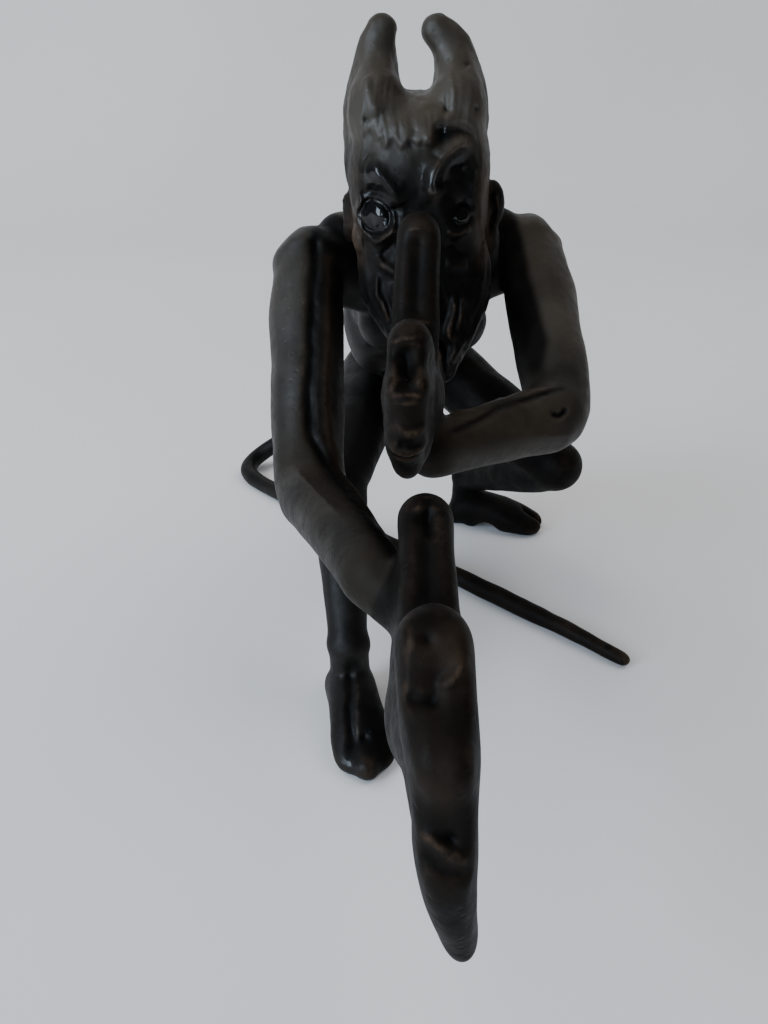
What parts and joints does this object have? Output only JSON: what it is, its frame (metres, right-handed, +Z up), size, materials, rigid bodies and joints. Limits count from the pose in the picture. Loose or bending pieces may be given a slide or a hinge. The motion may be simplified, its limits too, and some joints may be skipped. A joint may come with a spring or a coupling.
{
  "type": "devil figurine",
  "caption": "Dark patinated bronze devil ornament, bent forward with one knee turned out, thumbing its nose with both hands held in line, long tail lying under the body.",
  "frame": {"origin": "centre of the figure's footprint box on the table", "axes": "+Z up; the figure faces -Y, with its right side at -X"},
  "size_m": [0.061, 0.122, 0.0751],
  "materials": {
    "patinated_bronze": "near-black brown patina, satin with glossy recesses",
    "dowel_brass": "plain turned"
  },
  "bodies": {
    "root": {"torso": "patinated_bronze", "head": "patinated_bronze", "right_arm": "patinated_bronze", "left_arm": "patinated_bronze", "right_hand": "patinated_bronze", "left_hand": "patinated_bronze", "right_leg": "patinated_bronze", "left_leg": "patinated_bronze", "tail": "patinated_bronze", "neck_pin": "dowel_brass", "right_shoulder_pin": "dowel_brass", "left_shoulder_pin": "dowel_brass", "right_wrist_pin": "dowel_brass", "left_wrist_pin": "dowel_brass", "right_hip_pin": "dowel_brass", "left_hip_pin": "dowel_brass", "tail_pin": "dowel_brass"}
  },
  "joints": []
}
